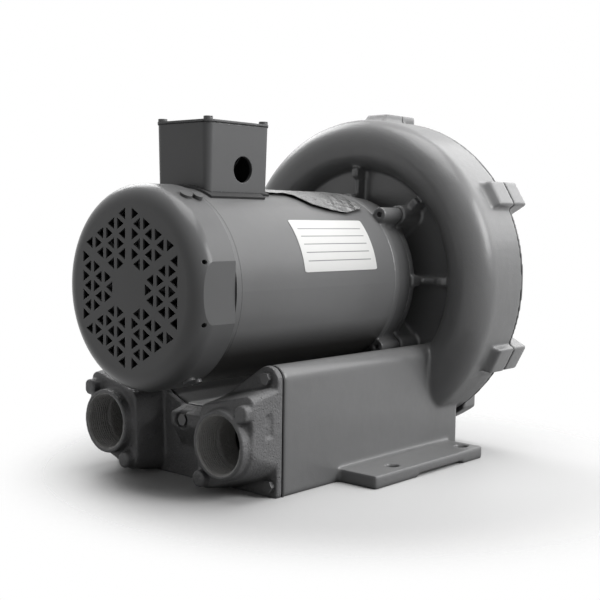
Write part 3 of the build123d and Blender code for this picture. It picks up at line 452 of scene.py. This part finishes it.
# Rear cover: back half of the ring channel with cooling ribs and clamp lugs, cast in
# aluminium like the housing and pulled against it at the six lugs.
rear_cover = rubbed_casting("rear_cover", "rear_cover_casting", voxel=0.0015, rounds=5, keep=0.5)
hand_over(rear_cover, "rear_cover", casing_paint)


def dress(material, *names):
    """Give CAD nodes that keep their shape their finish."""
    for name in names:
        for spot in nodes[name].material_slots:
            spot.material = material


def bare_metal(
    name, colour, roughness, radius, scratch, stretch, relief, stain=(0.5, 0.5, 0.5), stained=0.1,
):
    """Metal without paint: stretched tool marks, a few stains and softly broken edges."""
    metal = bpy.data.materials.new(name)
    metal.use_nodes = True
    tree = metal.node_tree
    shader = tree.nodes["Principled BSDF"]
    place = add_node(tree, "TexCoord")
    along = add_node(tree, "Mapping")
    along.inputs["Scale"].default_value = stretch
    marks = add_node(tree, "TexNoise", Scale=scratch, Detail=5.0, Roughness=0.7)
    blots = add_node(tree, "TexNoise", Scale=55.0, Detail=5.0, Roughness=0.65)
    blot_edge = add_node(tree, "MapRange", From_Min=0.52, From_Max=0.78, To_Min=0.0, To_Max=stained)
    drift = effect_node(tree, tone_drift, Spread=0.3, Scale=60.0)
    edges = effect_node(tree, worn_edge, Radius=radius, Reach=0.45)
    gloss = add_node(
        tree, "MapRange", From_Min=0.3, From_Max=0.7,
        To_Min=roughness - 0.08, To_Max=roughness + 0.12,
    )
    bump = add_node(tree, "Bump", Strength=1.0, Distance=relief)
    body = shaded(tree, colour, drift.outputs["Factor"])
    blotted = mixed(tree, blot_edge.outputs["Result"], body, stain)
    for a, b in (
        (place.outputs["Object"], along.inputs["Vector"]),
        (along.outputs["Vector"], marks.inputs["Vector"]),
        (place.outputs["Object"], blots.inputs["Vector"]),
        (blots.outputs[0], blot_edge.inputs["Value"]),
        (blotted, shader.inputs["Base Color"]),
        (marks.outputs[0], gloss.inputs["Value"]),
        (gloss.outputs["Result"], shader.inputs["Roughness"]),
        (marks.outputs[0], bump.inputs["Height"]),
        (edges.outputs["Normal"], bump.inputs["Normal"]),
        (bump.outputs["Normal"], shader.inputs["Normal"]),
    ):
        tree.links.new(a, b)
    shader.inputs["Metallic"].default_value = 1.0
    return metal


# Clamp screws, studs, tie bolts, washers and clips: zinc plated steel, the plating gone
# dull and a little blotched.
zinc_steel = bare_metal(
    "zinc_steel", (0.40, 0.40, 0.41), roughness=0.38, radius=0.0003, scratch=900.0,
    stretch=(1, 1, 1), relief=0.00003, stain=(0.16, 0.155, 0.15), stained=0.5,
)
dress(
    zinc_steel, "casing_clamp_bolts", "motor_mount_studs", "motor_through_bolts",
    "box_mount_screws", "bearing_preload_washer", "fan_clip",
    "impeller_key", "impeller_shims", "impeller_washer", "impeller_bolt",
)

# Manifold cover: an iron casting that closes the front of the base box and carries the
# two pipe ports. It is dark, coarse and scuffed bright where spanners touch it, and bare
# where the ports are bored.
# Its corners and crevices are darkened with painted shade, a little less than on the other paints.
manifold_paint = painted(
    "manifold_iron", (0.150, 0.150, 0.153), roughness=0.36, grain=520.0, relief=0.0009,
    radius=0.0012, wear=0.42, dust=0.10, swell=2.2, pits=1.0, corner_shade=0.45,
)
port_x = 0.0703
port_z = 0.0447
bored_radius = 0.0249
bored_blur = 0.0002
manifold_tree = manifold_paint.node_tree
manifold_shader = manifold_tree.nodes["Principled BSDF"]
port_place = add_node(manifold_tree, "TexCoord")
port_split = add_node(manifold_tree, "SeparateXYZ")
port_side = add_node(manifold_tree, "Math", "ABSOLUTE")
port_across = add_node(manifold_tree, "Math", "SUBTRACT")
port_across.inputs[1].default_value = port_x
port_up = add_node(manifold_tree, "Math", "SUBTRACT")
port_up.inputs[1].default_value = port_z
port_offset = add_node(manifold_tree, "CombineXYZ")
port_reach = add_node(manifold_tree, "VectorMath", "LENGTH")
port_bare = add_node(manifold_tree, "MapRange", To_Min=1.0, To_Max=0.0)
port_bare.inputs["From Min"].default_value = bored_radius - bored_blur
port_bare.inputs["From Max"].default_value = bored_radius + bored_blur
painted_iron = manifold_shader.inputs["Base Color"].links[0].from_socket
bored_iron = mixed(manifold_tree, port_bare.outputs["Result"], painted_iron, (0.50, 0.495, 0.485))
for a, b in (
    (port_place.outputs["Object"], port_split.inputs[0]),
    (port_split.outputs["X"], port_side.inputs[0]),
    (port_side.outputs[0], port_across.inputs[0]),
    (port_split.outputs["Z"], port_up.inputs[0]),
    (port_across.outputs[0], port_offset.inputs["X"]),
    (port_up.outputs[0], port_offset.inputs["Z"]),
    (port_offset.outputs[0], port_reach.inputs[0]),
    (port_reach.outputs["Value"], port_bare.inputs["Value"]),
    (bored_iron, manifold_shader.inputs["Base Color"]),
):
    manifold_tree.links.new(a, b)
manifold = rubbed_casting("manifold_cover", "manifold_casting", voxel=0.0011, rounds=6, keep=0.7)
hand_over(manifold, "manifold_cover", manifold_paint)

# Pipe threads of the two ports: 11.5 turns an inch, cut in the bare iron.
thread_pitch = 0.00221
thread_depth = 0.0009
thread_root = 0.0242
thread_start_y = -0.2125
for side, side_name in ((-1, "left"), (1, "right")):
    bpy.ops.object.select_all(action="DESELECT")
    bpy.ops.mesh.primitive_circle_add(
        vertices=3, radius=thread_depth, location=(side * port_x, thread_start_y, port_z)
    )
    thread = bpy.context.object
    thread.name = "port_thread_" + side_name
    bpy.ops.object.mode_set(mode="EDIT")
    bpy.ops.mesh.select_all(action="SELECT")
    bpy.ops.transform.translate(value=(thread_root, 0, 0))
    bpy.ops.object.mode_set(mode="OBJECT")
    with_modifier(
        thread, "SCREW", axis="Y", screw_offset=thread_pitch, iterations=9,
        steps=72, render_steps=72,
    )
    bpy.ops.object.mode_set(mode="EDIT")
    bpy.ops.mesh.select_all(action="SELECT")
    bpy.ops.mesh.fill_holes(sides=4)
    bpy.ops.mesh.normals_make_consistent(inside=False)
    bpy.ops.object.mode_set(mode="OBJECT")
    bpy.ops.object.transform_apply(location=True, rotation=True, scale=True)
    bpy.ops.object.shade_smooth_by_angle(angle=math.radians(30))
    thread.data.materials.append(manifold_paint)
    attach(thread, "casing")

# Manifold bolts and lid screws: steel, painted over with the castings and chipped at the
# corners by the spanner.
bolt_paint = painted(
    "bolt_paint", (0.12, 0.12, 0.122), roughness=0.34, grain=1400.0, relief=0.0001, radius=0.0004,
    wear=0.55, dust=0.1, swell=0.6,
)
dress(bolt_paint, "manifold_bolts", "terminal_box_lid_screws")


def soft_stuff(name, colour, roughness, scale, relief, spread, dust=0.25):
    """Rubber, fibre or plastic: fine grain and a slow drift of tone."""
    stuff = bpy.data.materials.new(name)
    stuff.use_nodes = True
    tree = stuff.node_tree
    shader = tree.nodes["Principled BSDF"]
    drift = effect_node(tree, tone_drift, Spread=spread, Scale=90.0)
    film = effect_node(tree, settled_dust, Amount=dust)
    skin = effect_node(tree, cast_skin, Grain=scale, Swell=0.6, Pits=0.0)
    edges = effect_node(tree, worn_edge, Radius=0.0004, Reach=0.2)
    gloss = add_node(
        tree, "MapRange", From_Min=0.3, From_Max=1.2,
        To_Min=roughness - 0.06, To_Max=roughness + 0.1,
    )
    bump = add_node(tree, "Bump", Strength=1.0, Distance=relief)
    body = shaded(tree, colour, drift.outputs["Factor"])
    dusty = mixed(tree, film.outputs["Mask"], body, dust_grey)
    for a, b in (
        (dusty, shader.inputs["Base Color"]),
        (skin.outputs["Height"], gloss.inputs["Value"]),
        (gloss.outputs["Result"], shader.inputs["Roughness"]),
        (skin.outputs["Height"], bump.inputs["Height"]),
        (edges.outputs["Normal"], bump.inputs["Normal"]),
        (bump.outputs["Normal"], shader.inputs["Normal"]),
    ):
        tree.links.new(a, b)
    return stuff


# Gaskets and shaft seal: black fibre and rubber sheet, cut or moulded, clamped between
# the castings and under the terminal box.
gasket_black = soft_stuff(
    "gasket_black", (0.018, 0.018, 0.019), roughness=0.62, scale=1500.0, relief=0.00012,
    spread=0.5, dust=0.06,
)
dress(
    gasket_black, "manifold_gasket", "terminal_box_gasket", "terminal_box_lid_gasket",
    "shaft_seal",
)

# Muffler liners: open cell foam pads that line the two chambers of the base box, cut
# from sheet and pushed in through the front before the cover goes on.
foam = bpy.data.materials.new("liner_foam")
foam.use_nodes = True
foam_tree = foam.node_tree
foam_shader = foam_tree.nodes["Principled BSDF"]
foam_place = add_node(foam_tree, "TexCoord")
foam_cells = add_node(foam_tree, "TexVoronoi", Scale=420.0)
foam_pore = add_node(foam_tree, "MapRange", From_Min=0.1, From_Max=0.55, To_Min=0.35, To_Max=1.15)
foam_drift = effect_node(foam_tree, tone_drift, Spread=0.4, Scale=30.0)
foam_both = add_node(foam_tree, "Math", "MULTIPLY")
foam_bump = add_node(foam_tree, "Bump", Strength=1.0, Distance=0.0012)
foam_tree.links.new(foam_place.outputs["Object"], foam_cells.inputs["Vector"])
foam_tree.links.new(foam_cells.outputs["Distance"], foam_pore.inputs["Value"])
foam_tree.links.new(foam_pore.outputs["Result"], foam_both.inputs[0])
foam_tree.links.new(foam_drift.outputs["Factor"], foam_both.inputs[1])
foam_tone = shaded(foam_tree, (0.085, 0.085, 0.08), foam_both.outputs[0])
foam_tree.links.new(foam_tone, foam_shader.inputs["Base Color"])
foam_tree.links.new(foam_cells.outputs["Distance"], foam_bump.inputs["Height"])
foam_tree.links.new(foam_bump.outputs["Normal"], foam_shader.inputs["Normal"])
foam_shader.inputs["Roughness"].default_value = 0.95
for side_name in ("left", "right"):
    liner = merged_copy("muffler_liner_" + side_name, "foam_liner_" + side_name)
    with_modifier(liner, "REMESH", mode="VOXEL", voxel_size=0.0024)
    with_modifier(liner, "SMOOTH", factor=0.5, iterations=4)
    bpy.ops.object.shade_smooth_by_angle(angle=math.radians(60))
    hand_over(liner, "muffler_liner_" + side_name, foam)

# Impeller: cast aluminium disc with vanes on its rim, left as cast.
cast_aluminium = bare_metal(
    "bare_aluminium", (0.52, 0.525, 0.53), roughness=0.46, radius=0.0006, scratch=650.0,
    stretch=(1, 1, 1), relief=0.00018, stain=(0.3, 0.3, 0.29), stained=0.4,
)
dress(cast_aluminium, "impeller", "rotor_cage")

# Motor shell: rolled steel tube, sprayed grey, smooth with a slight orange peel.
shell_paint = painted(
    "motor_paint", (0.160, 0.161, 0.163), roughness=0.33, grain=420.0, relief=0.00005,
    radius=0.0006, wear=0.30, dust=0.18, swell=1.2, coat=0.12, mirror=0.25,
)
# Its underside is painted darker, as painted shade that deepens towards the bottom
shell_tree = shell_paint.node_tree
shell_shader = shell_tree.nodes["Principled BSDF"]
shell_facing = add_node(shell_tree, "NewGeometry")
shell_down = add_node(shell_tree, "SeparateXYZ")
shell_underside_shade = add_node(
    shell_tree, "MapRange", From_Min=-0.66, From_Max=-0.38, To_Min=0.92, To_Max=0.0,
)
unshaded_shell = shell_shader.inputs["Base Color"].links[0].from_socket
underside_shade_black = (0.022, 0.021, 0.020)
shell_tree.links.new(shell_facing.outputs["Normal"], shell_down.inputs[0])
shell_tree.links.new(shell_down.outputs["Z"], shell_underside_shade.inputs["Value"])
shell_with_underside_shade = mixed(shell_tree, shell_underside_shade.outputs["Result"], unshaded_shell, underside_shade_black)
shell_tree.links.new(shell_with_underside_shade, shell_shader.inputs["Base Color"])
dress(shell_paint, "motor_shell", "fan_end_bell")

# Drive end bell: cast aluminium, clamped to the housing by studs through its four ears.
drive_bell = rubbed_casting(
    "drive_end_bell", "drive_bell_casting", voxel=0.0012, rounds=4, keep=0.6,
)
hand_over(drive_bell, "drive_end_bell", casing_paint)

# Shaft and bearings: ground and turned steel.
ground_steel = bare_metal(
    "machined_steel", (0.56, 0.56, 0.57), roughness=0.24, radius=0.0003, scratch=500.0,
    stretch=(1, 14, 1), relief=0.00001, stain=(0.3, 0.28, 0.25), stained=0.2,
)
dress(
    ground_steel, "motor_shaft", "fan_end_bearing_outer", "fan_end_bearing_inner",
    "fan_end_bearing_cage", "fan_end_bearing_balls", "drive_end_bearing_outer",
    "drive_end_bearing_inner", "drive_end_bearing_cage", "drive_end_bearing_balls",
)

# Stator and rotor cores: stacks of thin electrical steel sheet. The bands are the sheets.
stack = bare_metal(
    "core_steel", (0.20, 0.20, 0.205), roughness=0.5, radius=0.0003, scratch=300.0,
    stretch=(1, 9, 1), relief=0.00004, stain=(0.12, 0.10, 0.08), stained=0.4,
)
sheets_place = add_node(stack.node_tree, "TexCoord")
sheets = add_node(stack.node_tree, "TexWave", Scale=314.0, Distortion=0.2)
sheets.wave_type = "BANDS"
sheets.bands_direction = "Y"
sheet_bump = add_node(stack.node_tree, "Bump", Strength=0.8, Distance=0.0001)
stack.node_tree.links.new(sheets_place.outputs["Object"], sheets.inputs["Vector"])
stack.node_tree.links.new(sheets.outputs["Fac"], sheet_bump.inputs["Height"])
stack_shader = stack.node_tree.nodes["Principled BSDF"]
fine_marks = stack_shader.inputs["Normal"].links[0].from_socket
stack.node_tree.links.new(fine_marks, sheet_bump.inputs["Normal"])
stack.node_tree.links.new(sheet_bump.outputs["Normal"], stack_shader.inputs["Normal"])
dress(stack, "stator_core", "rotor_core")

# Stator winding: enamelled copper wire, laced and dipped in varnish.
winding = bare_metal(
    "copper", (0.48, 0.21, 0.09), roughness=0.34, radius=0.0006, scratch=420.0,
    stretch=(6, 1, 1), relief=0.0005, stain=(0.14, 0.05, 0.02), stained=0.7,
)
dress(winding, "stator_winding")

# Cooling fan: moulded plastic on the shaft end, behind the grille.
fan_plastic = soft_stuff(
    "fan_plastic", (0.022, 0.022, 0.023), roughness=0.48, scale=900.0, relief=0.00006, spread=0.3,
)
dress(fan_plastic, "cooling_fan")

# Fan shroud: steel pressing with rolled corner, punched grille and two side flats.
shroud_paint = painted(
    "shroud_paint", (0.126, 0.127, 0.129), roughness=0.28, grain=420.0, relief=0.00004,
    radius=0.0007, wear=0.36, dust=0.14, swell=1.4, coat=0.16, mirror=0.25,
)
dress(shroud_paint, "fan_shroud", "shroud_screws")

# Terminal box and lid: pressed steel, painted with the motor, scuffed at the top rim.
box_paint = painted(
    "terminal_box_paint", (0.102, 0.103, 0.105), roughness=0.40, grain=520.0, relief=0.00005,
    radius=0.0009, wear=0.46, dust=0.2, swell=1.0, coat=0.1, mirror=0.35,
)
dress(box_paint, "terminal_box", "terminal_box_lid")

# Ground screw in the box: brass.
brass = bare_metal(
    "ground_brass", (0.58, 0.40, 0.14), roughness=0.3, radius=0.0003, scratch=700.0,
    stretch=(1, 1, 1), relief=0.00002, stain=(0.25, 0.16, 0.06), stained=0.4,
)
dress(brass, "ground_screw")

# Motor leads: stranded wires in smooth dark insulation.
lead_sleeve = soft_stuff(
    "lead_insulation", (0.03, 0.03, 0.032), roughness=0.4, scale=1200.0, relief=0.00003, spread=0.4,
)
dress(lead_sleeve, "motor_leads")

# Rating plate and label: thin blank sheets glued round the shell.
axis_z = 0.1664


def shell_sheet(name, start_y, end_y, low_angle, high_angle, radius, thickness, corner):
    """A thin sheet cut from a tube round the motor axis, with rounded corners."""
    bpy.ops.object.select_all(action="DESELECT")
    bpy.ops.mesh.primitive_cylinder_add(
        vertices=360, radius=radius, depth=end_y - start_y, end_fill_type="NOTHING",
        location=(0, (start_y + end_y) / 2, axis_z), rotation=(math.radians(90), 0, 0),
    )
    sheet = bpy.context.object
    sheet.name = name
    bpy.ops.object.transform_apply(location=True, rotation=True, scale=True)
    bpy.ops.object.mode_set(mode="EDIT")
    bpy.ops.mesh.select_all(action="DESELECT")
    bpy.ops.object.mode_set(mode="OBJECT")
    for face in sheet.data.polygons:
        angle = math.degrees(math.atan2(face.center.z - axis_z, face.center.x))
        face.select = not low_angle < angle < high_angle
    bpy.ops.object.mode_set(mode="EDIT")
    bpy.ops.mesh.delete(type="FACE")
    bpy.ops.mesh.select_all(action="SELECT")
    bpy.ops.mesh.normals_make_consistent(inside=False)
    bpy.ops.mesh.select_all(action="DESELECT")
    bpy.ops.object.mode_set(mode="OBJECT")
    angles = [math.degrees(math.atan2(v.co.z - axis_z, v.co.x)) for v in sheet.data.vertices]
    for vertex, angle in zip(sheet.data.vertices, angles):
        at_side = angle < min(angles) + 0.01 or angle > max(angles) - 0.01
        vertex.select = at_side
    bpy.ops.object.mode_set(mode="EDIT")
    bpy.ops.mesh.bevel(offset=corner, offset_type="OFFSET", segments=6, affect="VERTICES")
    bpy.ops.object.mode_set(mode="OBJECT")
    with_modifier(sheet, "SOLIDIFY", thickness=thickness, offset=-1)
    bpy.ops.object.shade_smooth_by_angle(angle=math.radians(30))
    return sheet


label_stock = bpy.data.materials.new("label_white")
label_stock.use_nodes = True
label_tree = label_stock.node_tree
label_shader = label_tree.nodes["Principled BSDF"]
label_drift = effect_node(label_tree, tone_drift, Spread=0.08, Scale=30.0)
label_skin = effect_node(label_tree, cast_skin, Grain=1400.0, Swell=2.0, Pits=0.0)
label_edges = effect_node(label_tree, worn_edge, Radius=0.0006, Reach=0.5)
label_bump = add_node(label_tree, "Bump", Strength=1.0, Distance=0.00002)
label_body = shaded(label_tree, (0.72, 0.72, 0.71), label_drift.outputs["Factor"])
label_tone = mixed(label_tree, label_edges.outputs["Mask"], label_body, (0.5, 0.49, 0.46))
label_gloss = add_node(label_tree, "MapRange", From_Min=0.5, From_Max=2.0, To_Min=0.28, To_Max=0.42)
# Thin ruled lines round the shell, as on a form that is still blank
label_place = add_node(label_tree, "TexCoord")
label_seen = add_node(label_tree, "SeparateXYZ")
label_rise = add_node(label_tree, "Math", "SUBTRACT")
label_rise.inputs[1].default_value = axis_z
label_turn = add_node(label_tree, "Math", "ARCTAN2")
label_row = add_node(label_tree, "Math", "PINGPONG")
label_row.inputs[1].default_value = math.radians(2.6)
label_rule = add_node(label_tree, "MapRange")
label_near = add_node(label_tree, "MapRange")
label_far = add_node(label_tree, "MapRange")
label_low = add_node(label_tree, "MapRange")
label_high = add_node(label_tree, "MapRange")
for limit, from_min, from_max, to_min, to_max in (
    (label_rule, 0.0035, 0.0060, 1.0, 0.0),
    (label_near, -0.1180, -0.1176, 0.0, 1.0),
    (label_far, -0.0322, -0.0318, 1.0, 0.0),
    (label_low, math.radians(11.5), math.radians(11.6), 0.0, 1.0),
    (label_high, math.radians(38.0), math.radians(38.1), 1.0, 0.0),
):
    limit.inputs["From Min"].default_value = from_min
    limit.inputs["From Max"].default_value = from_max
    limit.inputs["To Min"].default_value = to_min
    limit.inputs["To Max"].default_value = to_max
label_ruled = label_rule.outputs["Result"]
label_tree.links.new(label_place.outputs["Object"], label_seen.inputs[0])
label_tree.links.new(label_seen.outputs["Z"], label_rise.inputs[0])
label_tree.links.new(label_rise.outputs[0], label_turn.inputs[0])
label_tree.links.new(label_seen.outputs["X"], label_turn.inputs[1])
label_tree.links.new(label_turn.outputs[0], label_row.inputs[0])
label_tree.links.new(label_row.outputs[0], label_rule.inputs["Value"])
label_tree.links.new(label_seen.outputs["Y"], label_near.inputs["Value"])
label_tree.links.new(label_seen.outputs["Y"], label_far.inputs["Value"])
label_tree.links.new(label_turn.outputs[0], label_low.inputs["Value"])
label_tree.links.new(label_turn.outputs[0], label_high.inputs["Value"])
for limit in (label_near, label_far, label_low, label_high):
    label_within = add_node(label_tree, "Math", "MULTIPLY")
    label_tree.links.new(label_ruled, label_within.inputs[0])
    label_tree.links.new(limit.outputs["Result"], label_within.inputs[1])
    label_ruled = label_within.outputs[0]
label_face = mixed(label_tree, label_ruled, label_tone, (0.16, 0.16, 0.165))
label_tree.links.new(label_face, label_shader.inputs["Base Color"])
label_tree.links.new(label_skin.outputs["Height"], label_bump.inputs["Height"])
label_tree.links.new(label_skin.outputs["Height"], label_gloss.inputs["Value"])
label_tree.links.new(label_gloss.outputs["Result"], label_shader.inputs["Roughness"])
label_tree.links.new(label_bump.outputs["Normal"], label_shader.inputs["Normal"])
label = shell_sheet(
    "blank_label", start_y=-0.124, end_y=-0.025, low_angle=8.6, high_angle=43.0,
    radius=0.08285, thickness=0.00022, corner=0.0035,
)
hand_over(label, "label_plate", label_stock)

foil = bare_metal(
    "plate_foil", (0.36, 0.36, 0.36), roughness=0.30, radius=0.0004, scratch=260.0,
    stretch=(1, 1, 1), relief=0.0009, stain=(0.24, 0.24, 0.24), stained=0.3,
)
foil_front_y = -0.113
foil_back_y = -0.009
foil_top_angle = 100.0
foil_low_angle = 48.0
foil_cuts = 40
edge_lift = 0.0019
crease_height = 0.00022
rating = shell_sheet(
    "blank_rating_plate", foil_front_y, foil_back_y, foil_low_angle, foil_top_angle,
    radius=0.0831, thickness=0.0004, corner=0.004,
)
work_on(rating)
bpy.ops.object.mode_set(mode="EDIT")
for cut in range(1, foil_cuts):
    bpy.ops.mesh.select_all(action="SELECT")
    cut_y = foil_front_y + (foil_back_y - foil_front_y) * cut / foil_cuts
    bpy.ops.mesh.bisect(plane_co=(0, cut_y, 0), plane_no=(0, 1, 0))
bpy.ops.object.mode_set(mode="OBJECT")
# The lower edge wanders: high beside the terminal box, low further back
foil_edge = (
    (-0.113, 70.5), (-0.091, 69.5), (-0.084, 64.0), (-0.077, 56.0),
    (-0.058, 51.0), (-0.038, 48.5), (-0.009, 53.0),
)
for vertex in rating.data.vertices:
    y = vertex.co.y
    angle = math.degrees(math.atan2(vertex.co.z - axis_z, vertex.co.x))
    radius = math.hypot(vertex.co.x, vertex.co.z - axis_z)
    for (near_y, near_angle), (far_y, far_angle) in zip(foil_edge, foil_edge[1:]):
        if near_y - 0.0001 <= y <= far_y + 0.0001:
            low = near_angle + (far_angle - near_angle) * (y - near_y) / (far_y - near_y)
    share = (foil_top_angle - low) / (foil_top_angle - foil_low_angle)
    angle = foil_top_angle - (foil_top_angle - angle) * share
    curl = max(0.0, 1 - (angle - low) / 14) ** 2
    crease = math.sin(angle * 0.9 + y * 310) + 0.7 * math.sin(angle * 0.45 - y * 520 + 1.7)
    loose = 0.3 + 0.7 * max(0.0, 1 - (angle - low) / 30)
    radius += edge_lift * curl + crease_height * loose * (1.7 + crease)
    vertex.co.x = radius * math.cos(math.radians(angle))
    vertex.co.z = axis_z + radius * math.sin(math.radians(angle))
bpy.ops.object.shade_smooth_by_angle(angle=math.radians(40))
hand_over(rating, "rating_plate", foil)
